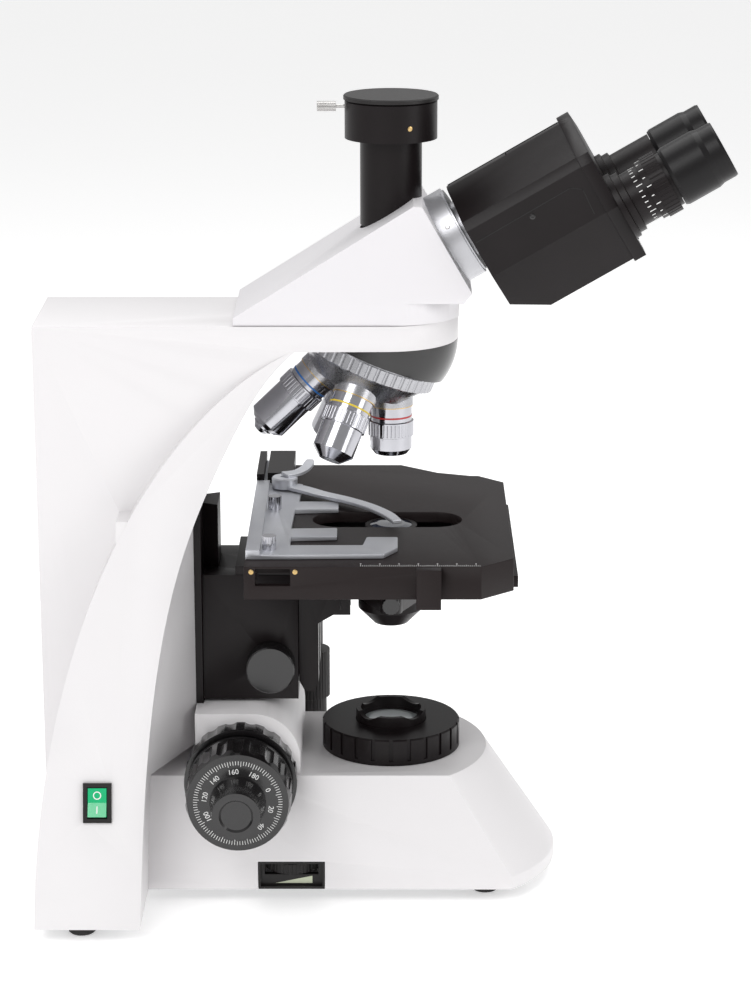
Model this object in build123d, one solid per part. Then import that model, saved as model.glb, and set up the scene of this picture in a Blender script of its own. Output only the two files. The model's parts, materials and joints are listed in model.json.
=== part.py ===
from build123d import *
from math import asin, cos, degrees, radians, sin
import os

# Trinocular laboratory microscope. Millimetres, +Z up, +X towards the user, so the user's left hand is at -Y.
# Pieces are modelled about the optical axis (X = Y = 0, table at Z = 0); at the end every piece is shifted
# so that the origin lies on the table under the middle of the whole instrument.

# Stand: white castings
WALL = 4.0
FOOT_HEIGHT = 8.0
FOOT_RADIUS = 7.5
ARM_BACK = -188.7
ARM_TOP = 318.0
ARM_UNDER = 304.6
ARM_HALF = 39.0
NOSE_CENTRE = -3.0
PILLAR_HALF = 111.2
PILLAR_FRONT = -132.6
WING_TOP = 304.4
WING_ARC = (188.7, 308.7)          # half axes of the elliptical back edge, centred at the foot of the optical axis
FRONT_CURVE = [(-50.7, 304.4), (-65, 290), (-85.8, 255.7), (-109.2, 201), (-124.8, 130), (-132.6, 8)]
BASE_TOP = 72.3
BASE_LIP = 15.5
BASE_HALF_TOP = 51.7
BASE_HALF_LOW = 57.1
BASE_CORNER_TOP = 31.7
BASE_CORNER_LOW = 66.0
BASE_FRONT_TOP = 53.0
BASE_FRONT_LOW = 91.5
HUMP = (-106.0, -49.3, 49.0, 106.5)   # back, front, half width, top
RAIL_FACE = -106.3
FILTER_SHELF = 88.0                  # step above the field lens that a filter lies on
FILTER_RADIUS = 16.8

# Focus drive
DRIVE_X = -80.8
DRIVE_Z = 74.0
COARSE_RADIUS = 30.3
KNOB_END = 116.0
RUNNING_GAP = 0.08
PART_GAP = 0.3

# Stage and condenser
STAGE_TOP = 202.0
STAGE_LOW = 184.2
STAGE_BACK = -76.4
STAGE_FRONT = 64.4
STAGE_NEAR = -89.7
STAGE_FAR = 91.7
STAGE_EXTENSION = 116.0
SLOT = (-42.8, 38.8, 14.85)        # slot ends and half width
BLOCK_Z = (108.4, 178.9)
INDEX_X = (13.2, 26.0)               # width of the index block that reads the scale on the top plate
STAGE_DRIVE = (-48.3, 110.0)

# Nosepiece: the turret axis is tilted, and all objective axes meet at APEX_Z on the optical axis
TURRET_TILT = 23.0
SHOULDER_DISTANCE = 55.0
SHOULDER_Z = 267.2
APEX_Z = SHOULDER_Z + SHOULDER_DISTANCE
TURRET_RADIUS = 38.5
RING_NEAR = 27.0
RING_FAR = 34.6

# Head and binocular
HEAD_LOW = 318.4
HEAD_HALF = 38.0
TUBE_TILT = 30.0
HINGE_ORIGIN = (39.5, 363.1)       # X and Z of the middle of the binocular's back face
HINGE_RADIUS = 24.4
EYE_OFFSET = 33.0
EYE_DROP = 24.8
EYE_END = 139.0
PHOTO_RADIUS = 16.4
PHOTO_TOP = 411.9
ADAPTER_TOP = 432.4
CAP_TOP = 434.7
SCREW_Z = 428.4

pieces = {}


def block(x, y, z):
    """A box between pairs of limits."""
    sizes = [high - low for low, high in (x, y, z)]
    middle = [(high + low) / 2 for low, high in (x, y, z)]
    return Pos(*middle) * Box(*sizes)


def disc(radius, low, high):
    """A cylinder on local Z between two heights."""
    return Pos(0, 0, (low + high) / 2) * Cylinder(radius, high - low)


def ring(outer, inner, low, high):
    return disc(outer, low, high) - disc(inner, low - 1, high + 1)


def turned(points):
    """A turned solid about local Z, from (radius, height) points."""
    return revolve(make_face(Plane.XZ * Polyline(*points, close=True)), Axis.Z)


def side_profile(points, half_width):
    """A prism across Y from (X, Z) points."""
    face = make_face(Plane.XZ * Polyline(*points, close=True))
    return extrude(face, half_width, both=True)


def plan_profile(points, low, high):
    """A prism along Z from (X, Y) points."""
    return Pos(0, 0, low) * extrude(make_face(Polyline(*points, close=True)), high - low)


def fluted(radius, count, groove, low, high):
    """A disc with round grooves along its rim."""
    cutters = [Rot(0, 0, 360 * i / count) * Pos(radius + 0.4 * groove, 0, 0) * disc(groove, low - 1, high + 1)
               for i in range(count)]
    return disc(radius, low, high) - cutters


def lobes(radius, count, depth, low, high):
    """Shallow hollows between the lobes of a knob's rim."""
    cutter = 6.5
    return [Rot(0, 0, 360 * i / count) * Pos(radius + cutter - depth, 0, 0) * disc(cutter, low, high)
            for i in range(count)]


def across(x, z, side=-1):
    """Local frame whose Z points outwards along -Y (side -1) or +Y (side 1)."""
    return Plane(origin=(x, 0, z), x_dir=(1, 0, 0), z_dir=(0, side, 0))


# ---------------------------------------------------------------- stand

def pillar_half_width(z):
    return ARM_HALF + (PILLAR_HALF - ARM_HALF) * (1 - (z - FOOT_HEIGHT) / (WING_TOP - FOOT_HEIGHT))


def pillar_envelope(inset, low):
    """Everything between the two tilted side faces of the pillar."""
    bottom = pillar_half_width(low) - inset
    top = ARM_HALF - inset
    face = make_face(Plane.YZ * Polyline((-bottom, low), (bottom, low), (top, WING_TOP), (-top, WING_TOP),
                                         close=True))
    return Pos(-300, 0, 0) * extrude(face, 400)


def wings(inset, low):
    """The flared sides: elliptical back edge, S-curved front edge, tilted outer faces."""
    curve = [(x - inset, z) for x, z in (FRONT_CURVE[1:] if inset else FRONT_CURVE)]
    reach_x, reach_z = WING_ARC[0] - inset, WING_ARC[1] - inset
    top_angle = degrees(asin((curve[0][1] - FOOT_HEIGHT) / reach_z))
    back = EllipticalCenterArc((0, FOOT_HEIGHT), reach_x, reach_z, 180 - top_angle, arc_size=top_angle)
    front = Spline(*curve)
    tops = Line(curve[0], back @ 0)
    left = Line(back @ 1, (-reach_x, low - 0.01))
    bottom = Line((-reach_x, low - 0.01), (curve[-1][0], low - 0.01))
    right = Line((curve[-1][0], low - 0.01), curve[-1])
    face = make_face(Plane.XZ * Curve([back, left, bottom, right, front, tops]))
    return extrude(face, PILLAR_HALF + 5, both=True) & pillar_envelope(inset, low)


def column(inset, low):
    """The upright and the arm that reaches forward from it."""
    curve = [(x - inset, z) for x, z in (FRONT_CURVE[1:] if inset else FRONT_CURVE)]
    back = ARM_BACK + inset
    front = Spline(*curve)
    top = ARM_TOP - inset
    ahead = -62 if inset else NOSE_CENTRE
    under = 300 if inset else ARM_UNDER
    path = Polyline(curve[0], (ahead, under), (ahead, top), (back, top), (back, low - 0.01),
                    (curve[-1][0], low - 0.01), curve[-1])
    face = make_face(Plane.XZ * Curve([front, *path.edges()]))
    return extrude(face, ARM_HALF - inset, both=True)


def focus_face():
    """Faceted pad on the pillar's front that carries the focusing guide."""
    outline = [(-145, -98), (-132, -91), (RAIL_FACE, -31), (RAIL_FACE, 31), (-132, 91), (-145, 98)]
    pad = plan_profile(outline, 84, 217.6)
    return pad & pillar_envelope(0.4, FOOT_HEIGHT)


def turret_frame(distance=0):
    """Frame on the turret axis, Z pointing down the axis, at a distance from the apex."""
    tilt = radians(TURRET_TILT)
    axis = Vector(-sin(tilt), 0, -cos(tilt))
    return Plane(origin=Vector(0, 0, APEX_Z) + axis * distance, x_dir=(cos(tilt), 0, -sin(tilt)), z_dir=axis)


def switch_frame_plane():
    """Frame on the pillar's left outer face, Z pointing out of it."""
    slope = (PILLAR_HALF - ARM_HALF) / (WING_TOP - FOOT_HEIGHT)
    height = 73.6
    return Plane(origin=(-155, -pillar_half_width(height), height), x_dir=(1, 0, 0), z_dir=(0, -1, slope))


def make_arm():
    body = wings(0, FOOT_HEIGHT) + column(0, FOOT_HEIGHT) + focus_face()
    body += Pos(NOSE_CENTRE, 0, 0) * disc(ARM_HALF, ARM_UNDER, ARM_TOP)
    body -= wings(WALL, FOOT_HEIGHT - 1)
    body -= column(WALL, FOOT_HEIGHT - 1)
    pocket = turret_frame() * disc(TURRET_RADIUS + 1.2, RING_NEAR - 1.2, 90)
    body -= pocket & block((-70, 40), (-34.8, 34.8), (200, ARM_TOP))
    body -= disc(15, ARM_UNDER - 1, ARM_TOP + 1)
    body -= block((RAIL_FACE, -90), (-30.8, 30.8), (102, 217.8))
    body -= block((ARM_BACK - 1, ARM_BACK + WALL + 1), (-14.1, 14.1), (34.9, 55.1))
    body -= switch_frame_plane() * Box(13.2, 19.2, 14)
    return body


def base_outline(corner_x, half, front_x, z):
    edges = [Line((PILLAR_FRONT, half), (PILLAR_FRONT, -half)),
             Line((PILLAR_FRONT, -half), (corner_x, -half)),
             ThreePointArc((corner_x, -half), (front_x, 0), (corner_x, half)),
             Line((corner_x, half), (PILLAR_FRONT, half))]
    return Pos(0, 0, z) * make_face(Curve(edges))


def base_block(inset, low):
    top = base_outline(BASE_CORNER_TOP - inset, BASE_HALF_TOP - inset, BASE_FRONT_TOP - inset, BASE_TOP - inset)
    lip = base_outline(BASE_CORNER_LOW - inset, BASE_HALF_LOW - inset, BASE_FRONT_LOW - inset, BASE_LIP)
    return loft([lip, top], ruled=True) + Pos(0, 0, low - BASE_LIP) * extrude(lip, BASE_LIP - low)


def hump(inset):
    back, front, half, top = HUMP
    shape = block((back + inset, front - inset), (inset - half, half - inset), (40, top - inset))
    edge = shape.edges().filter_by(Axis.Y).sort_by(lambda e: e.center().X + e.center().Z)[-1]
    return fillet(edge, 25 - inset)


def make_base():
    body = base_block(0, FOOT_HEIGHT) + hump(0)
    body -= base_block(WALL, FOOT_HEIGHT - 1) + hump(WALL)
    body -= wings(0, FOOT_HEIGHT) + column(0, FOOT_HEIGHT)
    body -= block((RAIL_FACE - 1, -102.2), (-31, 31), (102, 110))
    body -= across(DRIVE_X, DRIVE_Z) * disc(6 + RUNNING_GAP, -80, 80)
    body -= block((-95, -84), (-7, 7), (95, 110))
    body -= disc(19.9, 60, 80)
    body -= block((-72.6, -36), (-70, -40), (FOOT_HEIGHT - 1, 24))
    return body


def make_bottom_plates():
    pillar = block((-183.4, -137.6), (-102, 102), (FOOT_HEIGHT, FOOT_HEIGHT + 1.6))
    inner = base_outline(BASE_CORNER_LOW - 8, 46, BASE_FRONT_LOW - 6, FOOT_HEIGHT)
    return pillar + (extrude(inner, 1.6) & block((PILLAR_FRONT + 0.6, 100), (-50, 50), (0, 20)))


def foot_places():
    return [(x, side * y) for x, y in ((-165, 94), (52, 36)) for side in (-1, 1)]


def make_feet():
    foot = turned([(0, 0), (FOOT_RADIUS - 1, 0), (FOOT_RADIUS, 1), (FOOT_RADIUS, FOOT_HEIGHT), (0, FOOT_HEIGHT)])
    return [Pos(x, y, 0) * foot for x, y in foot_places()]


def make_power_inlet():
    """Flanged three-pin mains inlet, let into the back of the pillar."""
    flange = block((ARM_BACK - 2, ARM_BACK), (-15.5, 15.5), (33, 57))
    shell = block((ARM_BACK, ARM_BACK + 20), (-13.8, 13.8), (35.2, 54.8))
    body = flange + shell - block((ARM_BACK - 3, ARM_BACK + 16), (-12, 12), (37, 53))
    pins = [block((ARM_BACK + 3, ARM_BACK + 17), (y - 1, y + 1), (z - 2, z + 2))
            for y, z in ((-7, 43.5), (7, 43.5), (0, 47.5))]
    return body + pins


def make_switch_frame():
    frame = Pos(0, 0, 0.7) * Box(15, 21, 1.4) + Pos(0, 0, -6) * Box(12.8, 18.8, 12)
    return switch_frame_plane() * (frame - Pos(0, 0, -3.5) * Box(10.6, 16.6, 15))


def make_switch_rocker():
    """Rocker with its upper half pressed in; it turns on a pin across the frame."""
    rocker = side_of_rocker()
    return switch_frame_plane() * Rot(-8, 0, 0) * rocker


def side_of_rocker():
    outline = [(-7.6, -3), (-7.6, 2.6), (0, 1.6), (7.6, 2.6), (7.6, -3), (0, -5)]
    face = make_face(Plane.YZ * Polyline(*outline, close=True))
    return extrude(face, 4.9, both=True)


def make_dimmer_bezel():
    bezel = block((-72.4, -36.2), (-56.2, -50), (FOOT_HEIGHT, 23.8))
    bezel -= block((-71.2, -37.4), (-60, -53.4), (9.4, 22.6))
    return bezel - block((-69, -39.6), (-60, -40), (15.4, 22.2))


def make_dimmer_wheel():
    wheel = fluted(15, 40, 0.7, 16, 21.6) + disc(3, 21.6, 24)
    return Pos(-54.3, -39.9, 0) * wheel


def make_power_board():
    board = block((-172, -146), (-60, 60), (14, 15.6))
    board += block((-170, -150), (-50, -10), (15.6, 34))
    return board + [Pos(-160, y, 0) * disc(7, 15.6, 34) for y in (10, 28)]


def make_lamp():
    """Lamp capsule on its socket, lying on its side behind the mirror."""
    lamp = disc(13, 0, 12) + disc(5.5, 12, 26)
    lamp += Pos(0, 0, 26) * Sphere(5.5)
    return Plane(origin=(-62, 0, 34), x_dir=(0, 1, 0), z_dir=(1, 0, 0)) * lamp + block((-66, -58), (-9, 9), (9.6, 34))


def make_mirror():
    """Mirror at 45 degrees under the field lens, on its foot."""
    mirror = Plane(origin=(0, 0, 34), x_dir=(0, 1, 0), z_dir=(-1, 0, 1)) * Box(30, 38, 2)
    foot = side_profile([(2, 9.6), (12, 9.6), (12, 44), (2, 33.4)], 6)
    return foot + mirror


def make_field_lens_ring():
    """Lens cell with a stepped filter seat above the lens; its rim dips in four places for the fingers."""
    cell = ring(19.35, 16.6, BASE_TOP - 6, FILTER_SHELF) + ring(17, 15, BASE_TOP - 6, 84)
    cell += ring(19.35, FILTER_RADIUS, FILTER_SHELF, 93.6)
    cell += ring(24, 17, BASE_TOP - 6.6, BASE_TOP - 4.4)
    dips = [Rot(0, 0, 45 + 90 * i) * Pos(0, 0, 103.2) * Rot(0, 90, 0) * disc(12, 10, 25) for i in range(4)]
    return cell - dips


def make_field_lens():
    return turned([(0, 84), (16.4, 84), (16.4, 86.2), (12, 87.2), (0, 87.8)])


def make_diaphragm_ring():
    """Wide ribbed ring round the light port, which opens and closes the field diaphragm."""
    body = disc(38.1, BASE_TOP + PART_GAP, 87.4)
    body = chamfer(body.edges().filter_by(GeomType.CIRCLE).sort_by(Axis.Z)[-1], 0.8)
    grooves = [Rot(0, 0, 15 * i) * Pos(38.1, 0, 0) * block((-0.9, 1), (-1.1, 1.1), (75, 90)) for i in range(24)]
    return body - grooves - disc(19.35 + PART_GAP, 70, 90)


# ---------------------------------------------------------------- focusing drive

def make_guide_rail():
    """Guide plate on the pillar with a dovetail tongue down its middle."""
    plate = block((RAIL_FACE, -102.4), (-30.6, 30.6), (102.2, 217.6))
    tongue = plan_profile([(-102.4, -9), (-94, -13), (-94, 13), (-102.4, 9)], 107, 214)
    return plate + tongue


def make_focus_block():
    """Sliding block: it runs on the tongue and carries the stage bracket and the condenser slide."""
    body = block((-102.1, -50.5), (-28.8, 28.8), BLOCK_Z)
    gap = PART_GAP
    body -= plan_profile([(-103, -9 - gap), (-94 + gap, -13 - gap), (-94 + gap, 13 + gap), (-103, 9 + gap)],
                         100, 190)
    body -= block((-93.6, -86.4), (-5.3, 5.3), (100, 150))
    body -= block((-56.7, -50), (-6.3, 6.3), (100, 190)) + block((-60.3, -56.7), (-9.3, 9.3), (100, 190))
    return body - across(-65.3, 128.5) * disc(3 + RUNNING_GAP, 5, 40)


def make_rack():
    """Toothed bar below the block, down into the base beside the pinion."""
    bar = block((-93.5, -88.2), (-5, 5), (50, 149.8))
    tooth = side_profile([(-88.3, -1.4), (-87.1, -0.5), (-87.1, 0.5), (-88.3, 1.4)], 5)
    return bar + [Pos(0, 0, 52 + 3 * i) * tooth for i in range(18)]


def make_coarse_shaft():
    tube = ring(6, 3 + RUNNING_GAP, -66, 66) - ring(10, 4.9, -5.6, 5.6)
    teeth = [Rot(0, 0, 30 * i) * block((4.5, 5.8), (-0.6, 0.6), (-5.6, 5.6)) for i in range(12)]
    return across(DRIVE_X, DRIVE_Z) * (tube + teeth)


def make_coarse_knobs():
    """Pair of lobed knobs on the outer shaft."""
    knob = disc(COARSE_RADIUS, 55, 68) - lobes(COARSE_RADIUS, 18, 0.9, 54, 66.4)
    knob = knob + disc(9.5, 52.8, 55)
    knob -= disc(27.6, 66.4, 69)
    knob -= disc(6, 50, 70)
    return [across(DRIVE_X, DRIVE_Z, side) * knob for side in (-1, 1)]


def make_fine_shaft():
    return across(DRIVE_X, DRIVE_Z) * disc(3, -100, 100)


def make_fine_knobs():
    """Pair of drum knobs on the inner shaft, each with a flat dial and a tapered hub."""
    drum = turned([(3, 68.5), (20, 68.5), (28.2, 72), (28.2, 92), (26.9, 96.6), (24, 97), (15, 97),
                   (14.8, 98), (12.75, KNOB_END), (9, KNOB_END), (8, KNOB_END - 1.2), (3, KNOB_END - 1.2)])
    knob = drum - lobes(28.2, 20, 0.8, 76, 95.6) + disc(3.2, KNOB_END - 4, KNOB_END - 1.2)
    knob -= disc(3, 60, 100)
    return [across(DRIVE_X, DRIVE_Z, side) * knob for side in (-1, 1)]


def make_stage_bracket():
    """Upright plate on the block's front, with a gusset under the stage."""
    points = [(-50.2, 117), (-47, 111), (-42, 111), (-39.6, 116), (-39.6, 150), (-27.5, 157), (-27.5, STAGE_LOW - 0.2),
              (-50.2, STAGE_LOW - 0.2)]
    bracket = side_profile(points, 24) + block((-84, -50.2), (-28.8, 28.8), (179.1, STAGE_LOW - 0.2))
    bracket += block((-50.5, -50.2), (-22, 22), (120, 176))
    slot = block((-62, -20), (-9.4, 9.4), (100, 190))
    return bracket - slot


# ---------------------------------------------------------------- condenser

def make_condenser_carrier():
    """Ring that holds the condenser, on a tongue that slides in the bracket's slot."""
    ring_plan = Pos(0, 0, 162.5) * extrude(Circle(24), 13.5)
    taper = plan_profile([(-19, -14.5), (-5.6, -43), (5.6, -43), (19, -14.5)], 162.5, 176)
    tip = Pos(0, -42.2, 0) * disc(6.1, 162.5, 176)
    tongue = block((-49.8, -20), (-9, 9), (150, 171.6)) - disc(24, 140, 162.5)
    body = ring_plan + taper + tip + tongue
    body += block((-60, -45), (-6, 6), (134, 171.6)) + block((-60, -57), (-9, 9), (134, 171.6))
    body -= disc(18.4, 140, 190)
    return body - Pos(0, 0, 170) * (across(0, 0) * disc(2.5, 18, 60))


def make_condenser_body():
    body = turned([(10, 158), (16.6, 158), (18.3, 161), (18.3, 178), (16.4, 181), (15.2, 194.4), (14.2, 195.4), (14.2, 199.2),
                   (11.6, 199.6), (11.6, 160), (10, 160)])
    return body


def make_condenser_lens():
    return turned([(0, 190), (11.5, 190), (11.5, 199.2), (8, 200), (0, 200.4)])


def make_condenser_clamp():
    screw = disc(2.42, 19, 49) + fluted(4.6, 16, 0.5, 49, 57)
    return Pos(0, 0, 170) * (across(0, 0) * screw)


def make_iris_ring():
    """Ring under the condenser with a lever that opens the aperture diaphragm."""
    lever = block((13, 34), (-1.5, 1.5), (154, 156)) + Pos(35, 0, 0) * disc(2.6, 153, 157)
    band = turned([(8, 144), (9.6, 144), (18, 152.6), (18, 157.6), (8, 157.6)])
    return band + Rot(0, 0, 100) * lever


def make_condenser_knob():
    """Knob with its pinion shaft on the block's left side."""
    knob = chamfer(disc(13.25, 29.2, 41).edges().sort_by(Axis.Z)[-1], 0.8)
    knob = knob & fluted(13.25, 60, 0.45, 29.2, 41)
    return across(-65.3, 128.5) * (knob + disc(3, 7, 29.2))


# ---------------------------------------------------------------- mechanical stage

def stage_outline(inset, low, high):
    near = STAGE_NEAR + inset
    front = STAGE_FRONT - inset
    far = STAGE_FAR - inset
    end = STAGE_EXTENSION - inset
    cut = 0.6 * inset
    points = [(STAGE_BACK + inset, near), (front - 17.6 + cut, near), (front, near + 15.7 - cut),
              (front, far - 14 + cut), (front - 14 + cut, far), (46 - cut, far), (27 - cut, far + 7),
              (6 - cut, end), (STAGE_BACK + inset, end)]
    return plan_profile(points, low, high)


def make_stage_top():
    """Moving top plate with a deep rim all round, a light slot and the recess for the holder's carriage."""
    body = stage_outline(0, STAGE_LOW, STAGE_TOP) - stage_outline(5, STAGE_LOW - 1, STAGE_TOP - 6)
    slot = block((SLOT[0] + SLOT[2], SLOT[1] - SLOT[2]), (-SLOT[2], SLOT[2]), (180, 210))
    slot += [Pos(x, 0, 0) * disc(SLOT[2], 180, 210) for x in (SLOT[0] + SLOT[2], SLOT[1] - SLOT[2])]
    body -= slot
    window = block((-70.6, -52.4), (STAGE_NEAR - 1, STAGE_NEAR + 9), (191.6, 200.8))
    body -= window
    lip = block((STAGE_FRONT - 1, STAGE_FRONT + 2.6), (STAGE_NEAR + 22, STAGE_FAR - 20), (STAGE_LOW, 190.4))
    return body + lip


def make_stage_base():
    """Fixed plate inside the top plate's rim, screwed to the bracket."""
    body = block((-48, 42), (-66, 70), (STAGE_LOW, 189.6))
    body += [block((x, x + 6), (-60, 60), (189.6, 195.6)) for x in (-46, 34)]
    body += block((-44, -26), (70, 109), (STAGE_LOW - 0.4, 189.6))
    body += block(INDEX_X, (STAGE_NEAR - 6, -62), (180.4, STAGE_LOW - 0.3)) + block(INDEX_X, (-66, -62), (180.4, 186))
    body += block(INDEX_X, (STAGE_NEAR - 6, STAGE_NEAR - 0.4), (180.4, 201.9))
    return body - disc(24.6, 180, 200)


def make_stage_drive():
    """Housing of the coaxial stage drive, under the far end of the top plate."""
    x, y = STAGE_DRIVE
    body = block((x - 10, x + 22), (y - 12, y + 5), (174, STAGE_LOW - 0.4))
    return body + Pos(x, y, 0) * disc(8, 94, 174) - Pos(x, y, 0) * disc(5, 90, 178)


def stage_knob_shaft(outer, inner, knob_radius, low, knob_high, shaft_high, count):
    knob = fluted(knob_radius, count, 0.6, low, knob_high) + disc(outer, knob_high, shaft_high)
    if inner:
        knob -= disc(inner, low - 1, shaft_high + 1)
    return Pos(*STAGE_DRIVE, 0) * knob


def make_stage_upper_knob():
    return stage_knob_shaft(4.92, 2.6, 12, 62.4, 91, 172, 36)


def make_stage_lower_knob():
    return stage_knob_shaft(2.52, 0, 10, 52, 61.6, 176, 28)


def make_slide_holder():
    """Flat holder with two short fingers and one long hooked finger that locates the slide."""
    z = (STAGE_TOP + 0.3, STAGE_TOP + 2.7)
    plate = plan_profile([(-76, -77), (-68.6, -77), (-53, -77), (-4, -75.5), (3.5, -62.5), (3.5, -43.5),
                          (-12.9, -43.5), (-14.9, -58.7), (-53.4, -58.7), (-53.3, -43.5), (-28.8, -41.5),
                          (-29, -26), (-53.8, -27.2), (-52.8, 10.2), (-28.9, 12.2), (-29.2, 26.7), (-51, 26.7),
                          (-50, 63), (-55.6, 66), (-55.6, STAGE_EXTENSION), (-76.2, STAGE_EXTENSION),
                          (-76.2, 63)], *z)
    riser = block((-76, -68.6), (-77, 63), (z[1], z[1] + 2.4))
    return fillet_plan(plate) + riser


def fillet_plan(plate):
    edges = plate.edges().filter_by(Axis.Z).filter_by(lambda e: e.center().X > -30)
    return fillet(edges, 1.2)


def make_guide_bars():
    """Rack bar and guide strip that the holder draws along behind it."""
    low = STAGE_TOP + 2.7
    return [block((-76.2, -72.2), (64, STAGE_EXTENSION), (low, 210.4)),
            block((-70.2, -55.6), (66, STAGE_EXTENSION), (low, 210.6))]


def make_holder_screws():
    head = fluted(3.7, 20, 0.35, 0, 7.4)
    return [Pos(-64, -66, STAGE_TOP + 2.7) * head, Pos(-64, 12, STAGE_TOP + 2.7) * head]


def make_spring_clip():
    """Sprung arm that holds the slide against the hook, with a raised thumb tab at its pivot."""
    path = Spline((-60, 55), (-38, 34), (-14, 12), (3, -22), tangents=[(1, -0.2), (0.1, -1)])
    strip = Pos(0, 0, STAGE_TOP + 3.2) * extrude(trace(path, 9), 2.2)
    pivot = Pos(-60, 55, STAGE_TOP + 3.2) * disc(7.4, 0, 6)
    tab = plan_profile([(-60, 58), (-51, 52), (-43, 72), (-47, 80)], STAGE_TOP + 9.2, STAGE_TOP + 11.2)
    return strip + pivot + tab


# ---------------------------------------------------------------- nosepiece and objectives

def make_nosepiece_housing():
    """Dark wedge under the arm's nose that turns the vertical axis into the tilted turret axis."""
    body = turret_frame() * disc(TURRET_RADIUS - 0.2, -10, RING_NEAR - 0.4)
    bowl = Pos(NOSE_CENTRE + 0.4, 0, ARM_UNDER) * Sphere(ARM_HALF - 0.4)
    body += bowl & (turret_frame() * disc(60, -40, RING_NEAR - 0.4))
    body &= block((-60, 60), (-60, 60), (260, ARM_UNDER - 0.15))
    body -= disc(11, 260, 320)
    return body - turret_frame() * disc(3.5 + RUNNING_GAP, 10, 30)


def objective_frame(index):
    """Frame at the apex, Z pointing down one objective's axis; index 0 is the working position."""
    spin = Rot(0, 0, 90 * index)
    lean = Rot(0, TURRET_TILT, 0)
    return turret_frame().location * spin * lean


def make_turret():
    body = turned([(3.5 + RUNNING_GAP, RING_NEAR), (37, RING_NEAR), (37, RING_FAR), (35, 36), (26, 47),
                   (12, 52), (9, 52), (9, 44), (3.5 + RUNNING_GAP, 44)])
    body += fluted(TURRET_RADIUS, 48, 1.2, RING_NEAR + 0.6, RING_FAR) - disc(30, 20, 50)
    body = turret_frame() * body
    for index in range(4):
        body += objective_frame(index) * disc(11.9, 44, SHOULDER_DISTANCE)
        body -= objective_frame(index) * disc(6.2, 20, 60)
        body -= objective_frame(index) * disc(10.1, SHOULDER_DISTANCE - 5, 60)
    return body - turret_frame() * disc(9, 44, 60)


def make_turret_pivot():
    """Shouldered bolt that the turret turns on."""
    return turret_frame() * (disc(3.5, 20, 44.2) + disc(7.4, 44.2, 48))


def objective_shell(length, nose_radius, taper_start):
    """Threaded end, barrel with a knurled band, and a stepped cone to the front lens."""
    start = SHOULDER_DISTANCE
    points = [(0, start - 4.6), (10, start - 4.6), (10, start), (11.3, start), (11.3, start + 8.4),
              (12.3, start + 8.8), (12.3, start + 16.8), (11.3, start + 17.2), (11.3, start + taper_start),
              (nose_radius, start + length), (0, start + length)]
    return turned(points) - disc(6, start - 6, start + length - 3)


def knurl(length_start):
    """Grooves of the gripping band."""
    start = SHOULDER_DISTANCE + length_start
    return [Rot(0, 0, 10 * i) * Pos(12.5, 0, 0) * disc(0.5, start, start + 6.8) for i in range(36)]


def make_objective(index, length, nose_radius, taper_start):
    return objective_frame(index) * (objective_shell(length, nose_radius, taper_start) - knurl(9.4))


def make_sprung_objective(index):
    """High-power objective: the shell ends in an open cone for the sprung nose."""
    shell = objective_shell(40.4, 8.2, 37.6) - knurl(9.4)
    return objective_frame(index) * (shell - disc(6.2, SHOULDER_DISTANCE + 20, SHOULDER_DISTANCE + 42))


def make_nose(index, tip_radius):
    start = SHOULDER_DISTANCE
    return objective_frame(index) * turned([(0, start + 26), (6, start + 26), (6, start + 42), (5, start + 42.8),
                                            (tip_radius, start + 44.8), (0, start + 44.8)])


# ---------------------------------------------------------------- head

def head_outline(points, half):
    shape = side_profile(points, half)
    plan = block((-83, 0), (-half, half), (HEAD_LOW, 400)) + disc(half + 0.7, HEAD_LOW, 400)
    plan += block((0, 60), (-half, half), (330, 400))
    return shape & plan


def head_face_point(distance):
    """X and Z of a point on the head's inclined face, at a distance above the binocular's axis."""
    tilt = radians(TUBE_TILT)
    back = -11.25
    return (HINGE_ORIGIN[0] + back * cos(tilt) - distance * sin(tilt),
            HINGE_ORIGIN[1] + back * sin(tilt) + distance * cos(tilt))


def make_head():
    """Prism housing: sloping top, face square to the inclined axis, round neck below."""
    face = [head_face_point(distance) for distance in (27.2, -25.5)]
    points = [(-83, HEAD_LOW), (-83, 322.4), (11.6, 381.4), *face, (39.5, 331.8), (36.3, 327), (36, HEAD_LOW)]
    inner = [(-79, HEAD_LOW + 4), (8, 375), (14, 374), (33, 342), (31, 334), (31, HEAD_LOW + 4)]
    body = head_outline(points, HEAD_HALF) - head_outline(inner, HEAD_HALF - WALL)
    body -= disc(PHOTO_RADIUS + 0.05, 350, 400)
    body -= disc(14, HEAD_LOW - 1, HEAD_LOW + 6)
    return body - tube_frame() * disc(17.6, -20, 5)


def tube_frame():
    """Frame on the inclined axis, Z towards the eyepieces, X upwards and Y to the user's left (-Y)."""
    tilt = radians(TUBE_TILT)
    return Plane(origin=(HINGE_ORIGIN[0], 0, HINGE_ORIGIN[1]), x_dir=(-sin(tilt), 0, cos(tilt)),
                 z_dir=(cos(tilt), 0, sin(tilt)))


def make_flange_ring():
    """Bright ring that joins the head and the binocular, with the hinge spigot in its middle."""
    body = ring(25.3, 15, -11.2, -1.4) + ring(23.9, 15, -1.4, -0.4) + ring(17.5, 15, -12.4, -11.2)
    return tube_frame() * (body + ring(16, 13, -1.4, 30)) - disc(PHOTO_RADIUS + 0.4, 350, 400)


def box_section(side, swell):
    """Cross-section of one prism box, with the wedge of room that the swing needs beside its neighbour."""
    points = [(-1, 0.6), (24.4 + swell, 5.4), (20 + swell, 20), (11, 44 + swell), (6, 47 + swell),
              (-21, 47 + swell), (-52.4 - swell, 32), (-52.4 - swell, 14)]
    return make_face(Polyline(*[(x, side * y) for x, y in points], close=True))


def box_between(side, swell, low, high):
    return Pos(0, 0, low) * extrude(box_section(side, swell), high - low)


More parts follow.
